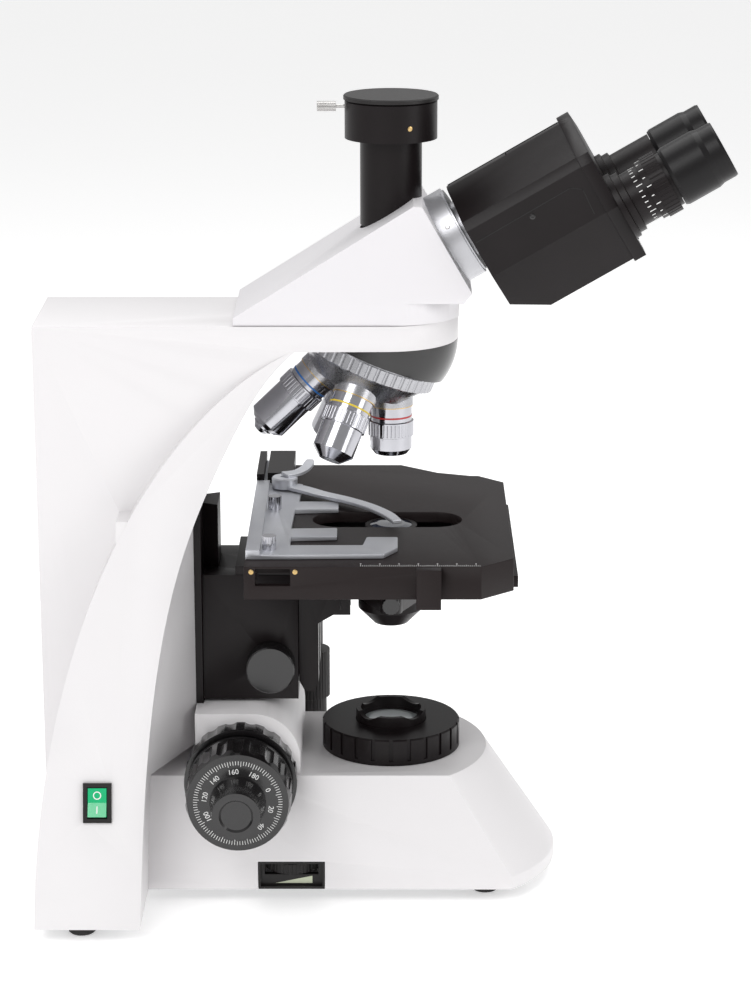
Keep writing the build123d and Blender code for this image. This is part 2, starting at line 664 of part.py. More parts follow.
def binocular_half(side, barrel):
    """One swinging half: prism box, its share of the hinge barrel and its front plate."""
    low, high = barrel
    other = (38.6, 78) if low < 20 else (0, 38.6)
    body = box_between(side, 0, 3, 70.6) + box_between(side, 1.6, 70.6, 77.4)
    nose_cut = Plane(origin=(-40.2, 0, 3), x_dir=(0, 1, 0), z_dir=(-1, 0, -0.67))
    body -= nose_cut * Pos(0, 0, 40) * Box(200, 200, 80)
    body -= disc(HINGE_RADIUS + PART_GAP, *other)
    if low > 20:
        body -= disc(27.4, 78, 90)
    else:
        body -= disc(27 + PART_GAP, 70.2, 90)
    body += disc(HINGE_RADIUS, low, high)
    if low > 20:
        body += disc(27, 70.6, 77.4)
    body -= disc(16.3, -1, 30.5)
    seat = Pos(-EYE_DROP, side * EYE_OFFSET, 0) * disc(8, 57, 90)
    return tube_frame() * (body - seat)


def eye_frame(side):
    return tube_frame().location * Pos(-EYE_DROP, side * EYE_OFFSET, 0)


def make_eye_tube(side, high):
    tube = turned([(11.65, 77.5), (18.4, 77.5), (18.4, 80.5), (16.8, 81), (16.8, 84.6), (14.9, 85),
                   (14.9, high), (11.65, high)])
    return eye_frame(side) * tube


def make_diopter_ring():
    """Graduated ring on the left tube that shifts its eyepiece to suit the eye."""
    collar = fluted(17.2, 40, 0.5, 98, 106) + disc(16.4, 94.6, 98)
    return eye_frame(1) * (collar - disc(14.9 + RUNNING_GAP, 90, 110))


def make_eyepiece(side):
    body = turned([(9, 80), (11.58, 80), (11.58, 108.2), (15.6, 108.2), (16.5, 110), (16.5, 128), (15.6, 131),
                   (15.6, 137.6), (15.2, EYE_END), (12.4, EYE_END), (11.4, 136), (9, 136)])
    lens = turned([(0, 131), (9.2, 131), (9.2, 134.6), (0, 136)])
    return eye_frame(side) * (body + lens)


def make_phototube():
    return ring(PHOTO_RADIUS, 12, 366, PHOTO_TOP - 0.1) - (Pos(0, 0, 407) * (Rot(0, -90, 0) * disc(0.9, 0, 30)))


def make_camera_adapter():
    body = turned([(14, PHOTO_TOP), (24.5, PHOTO_TOP), (24.5, ADAPTER_TOP - 1), (24, ADAPTER_TOP - 0.4),
                   (19, ADAPTER_TOP - 0.4), (19, 420), (14, 420)])
    return body - Pos(0, 0, SCREW_Z) * (Rot(0, -90, 0) * disc(1 + RUNNING_GAP, 10, 30))


def make_thumbscrew():
    """Clamp screw on the back of the adapter."""
    return Pos(0, 0, SCREW_Z) * (Rot(0, -90, 0) * (disc(1, 19.4, 29) + fluted(2.7, 14, 0.3, 29, 39)))


def make_dust_cap():
    cap = disc(25.2, ADAPTER_TOP, CAP_TOP) + disc(18.6, ADAPTER_TOP - 7, ADAPTER_TOP)
    cap -= disc(16.6, ADAPTER_TOP - 8, ADAPTER_TOP)
    return chamfer(cap.edges().filter_by(GeomType.CIRCLE).sort_by(Axis.Z)[-1], 0.6)


# ---------------------------------------------------------------- assembly

pieces["arm_casting"] = make_arm()
pieces["base_casting"] = make_base()
pieces["bottom_plates"] = make_bottom_plates()
pieces["rubber_feet"] = make_feet()
pieces["power_inlet"] = make_power_inlet()
pieces["switch_frame"] = make_switch_frame()
pieces["switch_rocker"] = make_switch_rocker()
pieces["dimmer_bezel"] = make_dimmer_bezel()
pieces["dimmer_wheel"] = make_dimmer_wheel()
pieces["power_board"] = make_power_board()
pieces["lamp"] = make_lamp()
pieces["folding_mirror"] = make_mirror()
pieces["field_lens_ring"] = make_field_lens_ring()
pieces["field_lens"] = make_field_lens()
pieces["field_diaphragm_ring"] = make_diaphragm_ring()
pieces["focus_guide_rail"] = make_guide_rail()
pieces["focus_block"] = make_focus_block()
pieces["focus_rack"] = make_rack()
pieces["coarse_shaft"] = make_coarse_shaft()
pieces["coarse_knobs"] = make_coarse_knobs()
pieces["fine_shaft"] = make_fine_shaft()
pieces["fine_knobs"] = make_fine_knobs()
pieces["stage_bracket"] = make_stage_bracket()
pieces["condenser_carrier"] = make_condenser_carrier()
pieces["condenser_body"] = make_condenser_body()
pieces["condenser_lens"] = make_condenser_lens()
pieces["condenser_clamp"] = make_condenser_clamp()
pieces["iris_ring"] = make_iris_ring()
pieces["condenser_knob"] = make_condenser_knob()
pieces["stage_top_plate"] = make_stage_top()
pieces["stage_base_plate"] = make_stage_base()
pieces["stage_drive_housing"] = make_stage_drive()
pieces["stage_upper_knob"] = make_stage_upper_knob()
pieces["stage_lower_knob"] = make_stage_lower_knob()
pieces["slide_holder"] = make_slide_holder()
pieces["guide_bars"] = make_guide_bars()
pieces["holder_screws"] = make_holder_screws()
pieces["spring_clip"] = make_spring_clip()
pieces["nosepiece_housing"] = make_nosepiece_housing()
pieces["turret"] = make_turret()
pieces["turret_pivot"] = make_turret_pivot()
pieces["objective_4x"] = make_objective(0, 27, 9, 24)
pieces["objective_10x"] = make_objective(1, 36, 6, 31)
pieces["objective_40x"] = make_sprung_objective(2)
pieces["objective_100x"] = make_sprung_objective(3)
pieces["nose_40x"] = make_nose(2, 3.2)
pieces["nose_100x"] = make_nose(3, 2.4)
pieces["head_housing"] = make_head()
pieces["flange_ring"] = make_flange_ring()
pieces["right_prism_box"] = binocular_half(-1, (2.4, 38))
pieces["left_prism_box"] = binocular_half(1, (38.6, 77.4))
pieces["left_tube"] = make_eye_tube(1, 108)
pieces["right_tube"] = make_eye_tube(-1, 108)
pieces["diopter_ring"] = make_diopter_ring()
pieces["left_eyepiece"] = make_eyepiece(1)
pieces["right_eyepiece"] = make_eyepiece(-1)
pieces["phototube"] = make_phototube()
pieces["camera_adapter"] = make_camera_adapter()
pieces["thumbscrew"] = make_thumbscrew()
pieces["dust_cap"] = make_dust_cap()

whole = Compound(children=[Compound(children=list(p)) if isinstance(p, list) else Compound(children=p.solids())
                           for p in pieces.values()])
box = whole.bounding_box()
shift = Pos(-(box.min.X + box.max.X) / 2, -(box.min.Y + box.max.Y) / 2, 0)
print("shift", shift.position, "box", box.min, box.max, "pieces", len(pieces))

os.makedirs("parts", exist_ok=True)
for name, piece in pieces.items():
    solids = [s for item in (piece if isinstance(piece, list) else [piece]) for s in item.solids()]
    export_step(shift * Compound(children=solids), f"parts/{name}.step")
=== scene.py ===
import bmesh
import bpy
import json
from math import atan2, cos, pi, radians, sin
from mathutils import Matrix, Vector


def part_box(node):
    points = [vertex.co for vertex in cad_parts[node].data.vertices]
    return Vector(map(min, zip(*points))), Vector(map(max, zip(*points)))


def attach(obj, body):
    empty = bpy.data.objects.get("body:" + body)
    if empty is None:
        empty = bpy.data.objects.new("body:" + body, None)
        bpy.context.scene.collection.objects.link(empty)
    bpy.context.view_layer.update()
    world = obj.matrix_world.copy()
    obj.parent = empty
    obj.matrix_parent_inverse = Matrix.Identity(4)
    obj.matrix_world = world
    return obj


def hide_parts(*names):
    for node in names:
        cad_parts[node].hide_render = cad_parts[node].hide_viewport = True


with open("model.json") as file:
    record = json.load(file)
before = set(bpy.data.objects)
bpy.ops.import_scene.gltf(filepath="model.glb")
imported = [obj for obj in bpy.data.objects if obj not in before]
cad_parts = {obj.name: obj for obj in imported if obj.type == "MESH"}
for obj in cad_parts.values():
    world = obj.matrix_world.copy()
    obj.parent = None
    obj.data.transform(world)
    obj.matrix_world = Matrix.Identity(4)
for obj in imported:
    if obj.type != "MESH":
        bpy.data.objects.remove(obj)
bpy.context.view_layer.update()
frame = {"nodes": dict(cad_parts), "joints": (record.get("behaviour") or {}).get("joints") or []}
MM = 0.001

# ---------------------------------------------------------------- Stand castings
# The pillar with its arm and the base are two hollow light-alloy castings, bolted together from inside.
# They are powder coated in a slightly warm white, with a faint orange peel over softly rounded edges.


def add_socket(group, name, direction, kind, value=None):
    socket = group.interface.new_socket(name, in_out=direction, socket_type=kind)
    if value is not None:
        socket.default_value = value


def new_node(tree, kind, **values):
    """A node with its plain settings and unlinked inputs filled in by name."""
    made = tree.nodes.new(kind)
    for key, value in values.items():
        if hasattr(made, key):
            setattr(made, key, value)
        else:
            made.inputs[key.replace("_", " ")].default_value = value
    return made


def build_fine_grain():
    """Cloudy tint, fine surface grain and uneven gloss, measured in metres of the piece's own space."""
    group = bpy.data.node_groups.new("fine_grain", "ShaderNodeTree")
    add_socket(group, "Colour", "INPUT", "NodeSocketColor")
    add_socket(group, "Tint", "INPUT", "NodeSocketColor")
    add_socket(group, "Cloud Scale", "INPUT", "NodeSocketFloat", 18.0)
    add_socket(group, "Grain Scale", "INPUT", "NodeSocketFloat", 1600.0)
    add_socket(group, "Grain Depth", "INPUT", "NodeSocketFloat", 0.1)
    add_socket(group, "Roughness", "INPUT", "NodeSocketFloat", 0.4)
    add_socket(group, "Roughness Spread", "INPUT", "NodeSocketFloat", 0.1)
    add_socket(group, "Colour", "OUTPUT", "NodeSocketColor")
    add_socket(group, "Roughness", "OUTPUT", "NodeSocketFloat")
    add_socket(group, "Normal", "OUTPUT", "NodeSocketVector")
    given = new_node(group, "NodeGroupInput")
    result = new_node(group, "NodeGroupOutput")
    place = new_node(group, "ShaderNodeTexCoord")
    cloud = new_node(group, "ShaderNodeTexNoise", Detail=3.0, Roughness=0.55)
    grain = new_node(group, "ShaderNodeTexNoise", Detail=2.0, Roughness=0.6)
    mix = new_node(group, "ShaderNodeMix", data_type="RGBA")
    middle = new_node(group, "ShaderNodeMath", operation="SUBTRACT")
    middle.inputs[1].default_value = 0.5
    spread = new_node(group, "ShaderNodeMath", operation="MULTIPLY_ADD")
    bump = new_node(group, "ShaderNodeBump", Distance=0.0002)
    link = group.links.new
    link(place.outputs["Object"], cloud.inputs["Vector"])
    link(place.outputs["Object"], grain.inputs["Vector"])
    link(given.outputs["Cloud Scale"], cloud.inputs["Scale"])
    link(given.outputs["Grain Scale"], grain.inputs["Scale"])
    link(cloud.outputs["Fac"], mix.inputs["Factor"])
    link(given.outputs["Colour"], mix.inputs["A"])
    link(given.outputs["Tint"], mix.inputs["B"])
    link(grain.outputs["Fac"], middle.inputs[0])
    link(middle.outputs[0], spread.inputs[0])
    link(given.outputs["Roughness Spread"], spread.inputs[1])
    link(given.outputs["Roughness"], spread.inputs[2])
    link(grain.outputs["Fac"], bump.inputs["Height"])
    link(given.outputs["Grain Depth"], bump.inputs["Strength"])
    link(mix.outputs["Result"], result.inputs["Colour"])
    link(spread.outputs[0], result.inputs["Roughness"])
    link(bump.outputs["Normal"], result.inputs["Normal"])
    return group


fine_grain = build_fine_grain()


def grained(name, colour, tint, rough, spread=0.1, grain=1600.0, depth=0.1, cloud=18.0, **shader):
    """A finish built on the fine grain, with its constants set on the shader's own sockets."""
    finish = bpy.data.materials.new(name)
    finish.use_nodes = True
    tree = finish.node_tree
    look = new_node(tree, "ShaderNodeGroup", node_tree=fine_grain)
    for key, value in (("Colour", (*colour, 1)), ("Tint", (*tint, 1)), ("Roughness", rough),
                       ("Roughness Spread", spread), ("Grain Scale", grain), ("Grain Depth", depth),
                       ("Cloud Scale", cloud)):
        look.inputs[key].default_value = value
    surface = tree.nodes["Principled BSDF"]
    for key, value in shader.items():
        surface.inputs[key.replace("_", " ")].default_value = value
    tree.links.new(look.outputs["Colour"], surface.inputs["Base Color"])
    tree.links.new(look.outputs["Roughness"], surface.inputs["Roughness"])
    tree.links.new(look.outputs["Normal"], surface.inputs["Normal"])
    return finish


def dress(finish, *names):
    """Gives carried-over CAD pieces their finish."""
    for name in names:
        for place in frame["nodes"][name].material_slots:
            place.material = finish


def show(piece, body, finish=None):
    """Puts a made piece on its body, with its finish."""
    if piece.name not in bpy.context.scene.collection.objects:
        bpy.context.scene.collection.objects.link(piece)
    if finish is not None:
        piece.data.materials.clear()
        piece.data.materials.append(finish)
    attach(piece, body)
    return piece


def soften(node, name, body, finish, width, segments=2, angle=25):
    """A copy of a CAD piece whose sharp edges are rounded, as casting, milling or moulding leaves them."""
    mesh = frame["nodes"][node].data.copy()
    work = bmesh.new()
    work.from_mesh(mesh)
    bmesh.ops.remove_doubles(work, verts=work.verts, dist=2e-6)
    bmesh.ops.dissolve_limit(work, angle_limit=radians(0.4), verts=work.verts, edges=work.edges)
    for face in work.faces:
        face.smooth = True
    work.to_mesh(mesh)
    work.free()
    piece = bpy.data.objects.new(name, mesh)
    rounding = piece.modifiers.new("rounded_edges", "BEVEL")
    rounding.width = width * MM
    rounding.segments = segments
    rounding.limit_method = "ANGLE"
    rounding.angle_limit = radians(angle)
    rounding.harden_normals = True
    rounding.miter_outer = "MITER_ARC"
    show(piece, body, finish)
    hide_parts(node)
    return piece


white_coat = grained("white_powder_coat", (0.765, 0.748, 0.755), (0.735, 0.718, 0.728), 0.42, 0.16, 1500, 0.12, 9,
                     Coat_Weight=0.1, Coat_Roughness=0.4)
soften("arm_casting", "stand_arm", "stand", white_coat, 1.6)
soften("base_casting", "stand_base", "stand", white_coat, 1.6)

# ---------------------------------------------------------------- Bottom plates and feet
# Two zinc-plated steel sheets close the castings from below, each held by countersunk screws at its corners,
# and the stand rests on turned rubber feet.
plated_steel = grained("zinc_plated_steel", (0.55, 0.56, 0.58), (0.46, 0.46, 0.45), 0.38, 0.2, 700, 0.15, 40,
                       Metallic=1.0)
black_rubber = grained("foot_rubber", (0.02, 0.02, 0.02), (0.028, 0.026, 0.025), 0.75, 0.15, 1200, 0.5, 60)
dress(plated_steel, "bottom_plates")
dress(black_rubber, "rubber_feet")


def lathe(name, profile, place, steps=48, closed=False):
    """A turned piece: the (radius, height) profile in millimetres spun about the frame's Z."""
    work = bmesh.new()
    rows = []
    for radius, height in profile:
        if radius < 1e-6:
            rows.append([work.verts.new((0, 0, height * MM))])
        else:
            rows.append([work.verts.new((radius * MM * cos(2 * pi * i / steps),
                                         radius * MM * sin(2 * pi * i / steps), height * MM))
                         for i in range(steps)])
    pairs = list(zip(rows, rows[1:]))
    if closed:
        pairs.append((rows[-1], rows[0]))
    for low, high in pairs:
        for i in range(steps):
            corners = [low[i % len(low)], low[(i + 1) % len(low)], high[(i + 1) % len(high)], high[i % len(high)]]
            distinct = list(dict.fromkeys(corners))
            if len(distinct) > 2:
                work.faces.new(distinct)
    bmesh.ops.recalc_face_normals(work, faces=work.faces)
    mesh = bpy.data.meshes.new(name)
    work.to_mesh(mesh)
    work.free()
    mesh.shade_smooth()
    mesh.set_sharp_from_angle(angle=radians(35))
    mesh.transform(place)
    return bpy.data.objects.new(name, mesh)


def frame_at(origin, z_axis, x_axis):
    """A placing matrix with its Z and X axes along the given directions."""
    z = Vector(z_axis).normalized()
    y = z.cross(Vector(x_axis)).normalized()
    x = y.cross(z)
    placing = Matrix((x, y, z)).transposed().to_4x4()
    placing.translation = Vector(origin)
    return placing


def screw_head(name, place, radius, height, recess, body, finish):
    """A cheese-head screw with a hexagon socket, standing on the placing matrix."""
    profile = [(radius, 0), (radius, height * 0.75), (radius * 0.86, height), (recess, height)]
    piece = lathe(name, profile + [(recess * 0.96, height * 0.45), (0, height * 0.3)], place, 36)
    return show(piece, body, finish)


bright_screw = grained("bright_screw_steel", (0.62, 0.60, 0.57), (0.5, 0.48, 0.46), 0.28, 0.15, 900, 0.1, 200,
                       Metallic=1.0)
plate_low, plate_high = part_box("bottom_plates")
cover_places = [(plate_low.x + 0.008, plate_low.y + 0.012), (plate_low.x + 0.008, plate_high.y - 0.012),
                (plate_high.x - 0.034, plate_low.y + 0.066), (plate_high.x - 0.034, plate_high.y - 0.066)]
for index, (x, y) in enumerate(cover_places):
    below = frame_at((x, y, plate_low.z + 0.0002), (0, 0, -1), (1, 0, 0))
    screw_head(f"cover_screw_{index}", below, 2.6, 1.2, 1.2, "stand", bright_screw)

# ---------------------------------------------------------------- Mains inlet and electrics
# A black moulded appliance inlet is set in the back of the pillar, and inside are the lamp's supply board,
# a halogen lamp in a ceramic and metal holder, and a front-surface mirror under the light port.
black_mould = grained("black_moulding", (0.010, 0.009, 0.009), (0.015, 0.013, 0.013), 0.42, 0.15, 2200, 0.2, 50,
                      Specular_IOR_Level=0.35)
board_green = grained("board_lacquer", (0.02, 0.12, 0.05), (0.03, 0.17, 0.07), 0.3, 0.2, 500, 0.4, 90)
lamp_white = grained("lamp_ceramic", (0.72, 0.70, 0.64), (0.6, 0.58, 0.53), 0.45, 0.2, 900, 0.2, 120)
mirror_face = grained("front_mirror", (0.9, 0.91, 0.93), (0.86, 0.87, 0.9), 0.05, 0.02, 300, 0.0, 10, Metallic=1.0)
dress(black_mould, "power_inlet")
dress(board_green, "power_board")
dress(lamp_white, "lamp")
dress(mirror_face, "folding_mirror")

# ---------------------------------------------------------------- Power switch
# A black snap-in frame holds a translucent green rocker with the on and off symbols printed on its face.
# The rocker is given a faint painted glow, as if lit from inside.
dress(black_mould, "switch_frame")
# Painted glow: a weak green emission makes the rocker shine faintly, though no lamp lights it.
rocker_painted_glow = grained("green_rocker", (0.0, 0.32, 0.11), (0.0, 0.42, 0.17), 0.18, 0.08, 400, 0.05, 130,
                    Coat_Weight=0.6, Coat_Roughness=0.08, Emission_Color=(0.0, 0.5, 0.18, 1), Emission_Strength=0.12)
dress(rocker_painted_glow, "switch_rocker")
mark_white = grained("printed_white", (0.85, 0.85, 0.84), (0.78, 0.78, 0.77), 0.5, 0.1, 2500, 0.1, 400)


def joint(name):
    return next(j for j in frame["joints"] if j["name"] == name)


def facet(node, towards, near=0.97):
    """Centre and normal of the flat face area of a CAD piece that looks along a direction."""
    mesh = frame["nodes"][node].data
    faces = [f for f in mesh.polygons if f.normal.dot(Vector(towards).normalized()) > near]
    area = sum(f.area for f in faces)
    centre = sum((f.center * f.area for f in faces), Vector()) / area
    normal = sum((f.normal * f.area for f in faces), Vector()).normalized()
    return centre, normal


def plate_piece(name, outlines, place, thickness=0.12):
    """Thin raised marks: each outline, in millimetres in the placing's XY plane, is lifted off it a little."""
    work = bmesh.new()
    for outline in outlines:
        low = [work.verts.new((x * MM, y * MM, 0)) for x, y in outline]
        high = [work.verts.new((x * MM, y * MM, thickness * MM)) for x, y in outline]
        work.faces.new(low[::-1])
        work.faces.new(high)
        for i in range(len(outline)):
            after = (i + 1) % len(outline)
            work.faces.new([low[i], low[after], high[after], high[i]])
    mesh = bpy.data.meshes.new(name)
    work.to_mesh(mesh)
    work.free()
    mesh.transform(place)
    return bpy.data.objects.new(name, mesh)


def bar(x, y, angle, length, width):
    """Corners of a thin printed line."""
    along = Vector((cos(angle), sin(angle))) * length / 2
    across = Vector((-sin(angle), cos(angle))) * width / 2
    return [(x + s * along.x + t * across.x, y + s * along.y + t * across.y)
            for s, t in ((-1, -1), (1, -1), (1, 1), (-1, 1))]


def circle_line(x, y, radius, width, steps=28):
    """Short quads that make a printed ring."""
    quads = []
    for i in range(steps):
        a, b = 2 * pi * i / steps, 2 * pi * (i + 1) / steps
        inner, outer = radius - width / 2, radius + width / 2
        quads.append([(x + inner * cos(a), y + inner * sin(a)), (x + outer * cos(a), y + outer * sin(a)),
                      (x + outer * cos(b), y + outer * sin(b)), (x + inner * cos(b), y + inner * sin(b))])
    return quads


rocker_low, rocker_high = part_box("switch_rocker")
rocker_middle = (rocker_low + rocker_high) / 2
for part_name, aim, marks in (("off_mark", (0, -1, 0.25), "O"), ("on_mark", (0, -1, -0.25), "I")):
    mesh = frame["nodes"]["switch_rocker"].data
    high_half = marks == "O"
    faces = [f for f in mesh.polygons if f.normal.y < -0.8 and (f.center.z > rocker_middle.z) == high_half]
    area = sum(f.area for f in faces)
    centre = sum((f.center * f.area for f in faces), Vector()) / area
    normal = sum((f.normal * f.area for f in faces), Vector()).normalized()
    face_place = frame_at(centre, normal, (1, 0, 0))
    shapes = circle_line(0, 0, 1.9, 0.55) if high_half else [bar(0, 0, pi / 2, 3.8, 0.6)]
    show(plate_piece(part_name, shapes, face_place), "power_switch", mark_white)

# ---------------------------------------------------------------- Lamp dimmer
# A ribbed wheel turns in a black moulded recess at the foot of the base.
# A pale wedge printed beside it shows which way makes the lamp brighter.
port_low, port_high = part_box("field_diaphragm_ring")
axis_x = (port_low.x + port_high.x) / 2
axis_y = (port_low.y + port_high.y) / 2


def at(x, y, z):
    """A point given in millimetres from the optical axis, in the row frame."""
    return Vector((axis_x + x * MM, axis_y + y * MM, z * MM))


dress(black_mould, "dimmer_bezel", "dimmer_wheel")
wedge_cream = grained("wedge_ink", (0.62, 0.66, 0.50), (0.52, 0.57, 0.42), 0.5, 0.1, 1800, 0.1, 300)
wedge_place = frame_at(at(0, -53.4, 0), (0, -1, 0), (1, 0, 0))
show(plate_piece("dimmer_wedge", [[(-63, 10.4), (-43, 10.4), (-43, 14.6)]], wedge_place, 0.15),
     "stand", wedge_cream)

# ---------------------------------------------------------------- Illuminator and field diaphragm
# A wide ribbed ring turns round the light port, and inside it a notched black cell holds the field lens.
# Both are turned aluminium, anodised and sprayed a brownish black. The lens is ground glass.
black_metal = grained("black_satin_metal", (0.006, 0.0042, 0.0045), (0.010, 0.0072, 0.0078), 0.36, 0.16, 1500, 0.16, 45,
                      Specular_IOR_Level=0.20)
ground_glass = grained("ground_glass", (0.62, 0.66, 0.66), (0.54, 0.58, 0.60), 0.34, 0.2, 2600, 0.25, 60,
                       Coat_Weight=0.7, Coat_Roughness=0.06)
dress(black_metal, "field_diaphragm_ring", "field_lens_ring")
dress(ground_glass, "field_lens")

# ---------------------------------------------------------------- Focus knobs and dials
# Coaxial knobs on both sides: lobed glossy black coarse wheels, and inside them smaller fine knobs.
# Each fine knob carries a black dial with a hundred engraved lines and numbers filled with white.
gloss_black = grained("glossy_black", (0.006, 0.0055, 0.006), (0.010, 0.009, 0.0095), 0.20, 0.10, 900, 0.08, 35,
                      Coat_Weight=0.35, Coat_Roughness=0.10)
turned_steel = grained("turned_steel", (0.58, 0.57, 0.56), (0.47, 0.46, 0.45), 0.27, 0.14, 1100, 0.12, 90,
                       Metallic=1.0)
dress(gloss_black, "coarse_knobs", "fine_knobs")
dress(turned_steel, "coarse_shaft", "fine_shaft")


def merged(name, meshes):
    """One object from several meshes."""
    work = bmesh.new()
    for mesh in meshes:
        work.from_mesh(mesh)
    whole = bpy.data.meshes.new(name)
    work.to_mesh(whole)
    work.free()
    return bpy.data.objects.new(name, whole)


def numeral(text, height, place):
    """A printed number as a thin mesh, centred on the placing and reading along its X."""
    curve = bpy.data.curves.new("numeral", "FONT")
    curve.body = text
    curve.size = height * MM
    curve.align_x = "CENTER"
    curve.align_y = "CENTER"
    curve.extrude = 0.00005
    holder = bpy.data.objects.new("numeral", curve)
    bpy.context.scene.collection.objects.link(holder)
    bpy.context.view_layer.update()
    mesh = bpy.data.meshes.new_from_object(holder.evaluated_get(bpy.context.evaluated_depsgraph_get()))
    bpy.data.objects.remove(holder)
    mesh.transform(place)
    return mesh


drive = Vector(joint("fine_turn")["pos_m"])
for side_name, outward, across in (("left", -1, 1), ("right", 1, -1)):
    face = frame_at((drive.x, axis_y + outward * 97 * MM, drive.z), (0, outward, 0), (across, 0, 0))
    lines = []
    for index in range(100):
        turn = radians(3.6 * index + 5)
        inner = 20.6 if index % 5 == 0 else 21.4
        middle = (inner + 23.6) / 2
        lines.append(bar(middle * sin(turn), middle * cos(turn), pi / 2 - turn, 23.6 - inner, 0.26))
    show(plate_piece(f"dial_lines_{side_name}", lines, face, 0.08), "fine_drive", mark_white)
    numbers = []
    for value in range(0, 200, 20):
        turn = radians((value - 160) * 1.8 - 7)
        spot = Matrix.Translation((17.6 * MM * sin(turn), 17.6 * MM * cos(turn), 0.05 * MM))
        numbers.append(numeral(str(value), 3.9, face @ spot @ Matrix.Rotation(-turn, 4, "Z")))
    show(merged(f"dial_numbers_{side_name}", numbers), "fine_drive", mark_white)

# ---------------------------------------------------------------- Focus rail, block and rack
# The milled focus block slides on a dovetail rail let into the pillar, driven by a brass rack behind it.
# Rail and block are sprayed satin black, and the milled corners are lightly broken.
rack_brass = grained("rack_brass", (0.62, 0.43, 0.17), (0.52, 0.35, 0.13), 0.32, 0.15, 1000, 0.15, 110, Metallic=1.0)
dress(black_metal, "focus_guide_rail")
dress(rack_brass, "focus_rack")
soften("focus_block", "focus_slide_block", "focus_carriage", black_metal, 0.7)

# ---------------------------------------------------------------- Bracket and condenser
# A cast bracket carries the stage, and below it the condenser rides in its own fork with a small side knob.
# The condenser is black turned metal with a ribbed iris ring under it and a domed top lens.
optic_glass = grained("coated_glass", (0.03, 0.045, 0.06), (0.05, 0.05, 0.085), 0.06, 0.03, 300, 0.0, 70,
                      Coat_Weight=1.0, Coat_Roughness=0.02)
soften("stage_bracket", "bracket_casting", "focus_carriage", black_metal, 0.8)
soften("condenser_carrier", "condenser_fork", "condenser", black_metal, 0.5)
dress(black_metal, "condenser_body", "iris_ring")
dress(optic_glass, "condenser_lens")
dress(gloss_black, "condenser_knob", "condenser_clamp")

# ---------------------------------------------------------------- Mechanical stage
# The stage is a broad aluminium plate sliding on a lower plate, both with a fine-textured brownish black coat.
# A white millimetre scale is printed along the near edge, and small brass screws close the end of the slide.
stage_coat = grained("textured_stage_coat", (0.0125, 0.0085, 0.0085), (0.018, 0.0125, 0.0125), 0.46, 0.18, 2400, 0.3, 25,
                     Specular_IOR_Level=0.18)
small_brass = grained("small_brass", (0.66, 0.47, 0.22), (0.54, 0.37, 0.15), 0.3, 0.15, 1300, 0.12, 250, Metallic=1.0)
soften("stage_top_plate", "stage_upper_plate", "stage_plate", stage_coat, 0.6)
soften("stage_base_plate", "stage_lower_plate", "focus_carriage", stage_coat, 0.5)
soften("stage_drive_housing", "drive_housing", "focus_carriage", black_metal, 0.6)
stage_low, stage_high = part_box("stage_top_plate")
stage_top = stage_high.z / MM
near_edge = (stage_low.y - axis_y) / MM
scale_place = frame_at(at(0, near_edge, stage_top), (0, 0, 1), (1, 0, 0))
scale_lines = []
for index in range(63):
    length = 3.2 if index % 10 == 0 else 2.5 if index % 5 == 0 else 1.7
    scale_lines.append(bar(-15.8 + index, 1.2 + length / 2, pi / 2, length, 0.22))
    if index % 10 == 0:
        scale_lines.append(bar(-15.8 + index, 5.6, 0, 0.8, 0.8))
show(plate_piece("stage_scale", scale_lines, scale_place, 0.06), "stage_plate", mark_white)
for index, (x, z) in enumerate(((-72.6, 199.3), (-49.8, 199.3))):
    screw_head(f"stage_end_screw_{index}", frame_at(at(x, near_edge + 0.05, z), (0, -1, 0), (1, 0, 0)),
               1.3, 0.5, 0.6, "stage_plate", small_brass)

# ---------------------------------------------------------------- Slide holder and clip
# A stamped holder in satin aluminium lies on the stage, drawn along by a rack bar and held by two chromed screws.
# A curved sprung arm with a thumb finger presses the slide against its fingers.
satin_alloy = grained("satin_aluminium", (0.66, 0.67, 0.70), (0.56, 0.57, 0.61), 0.40, 0.12, 1300, 0.14, 55,
                      Metallic=0.75)
bright_chrome = grained("bright_chrome", (0.52, 0.52, 0.55), (0.42, 0.42, 0.45), 0.12, 0.08, 800, 0.05, 120,
                        Metallic=1.0)
soften("slide_holder", "holder_plate", "holder_carriage", satin_alloy, 0.35)
dress(black_metal, "guide_bars")
dress(bright_chrome, "holder_screws")


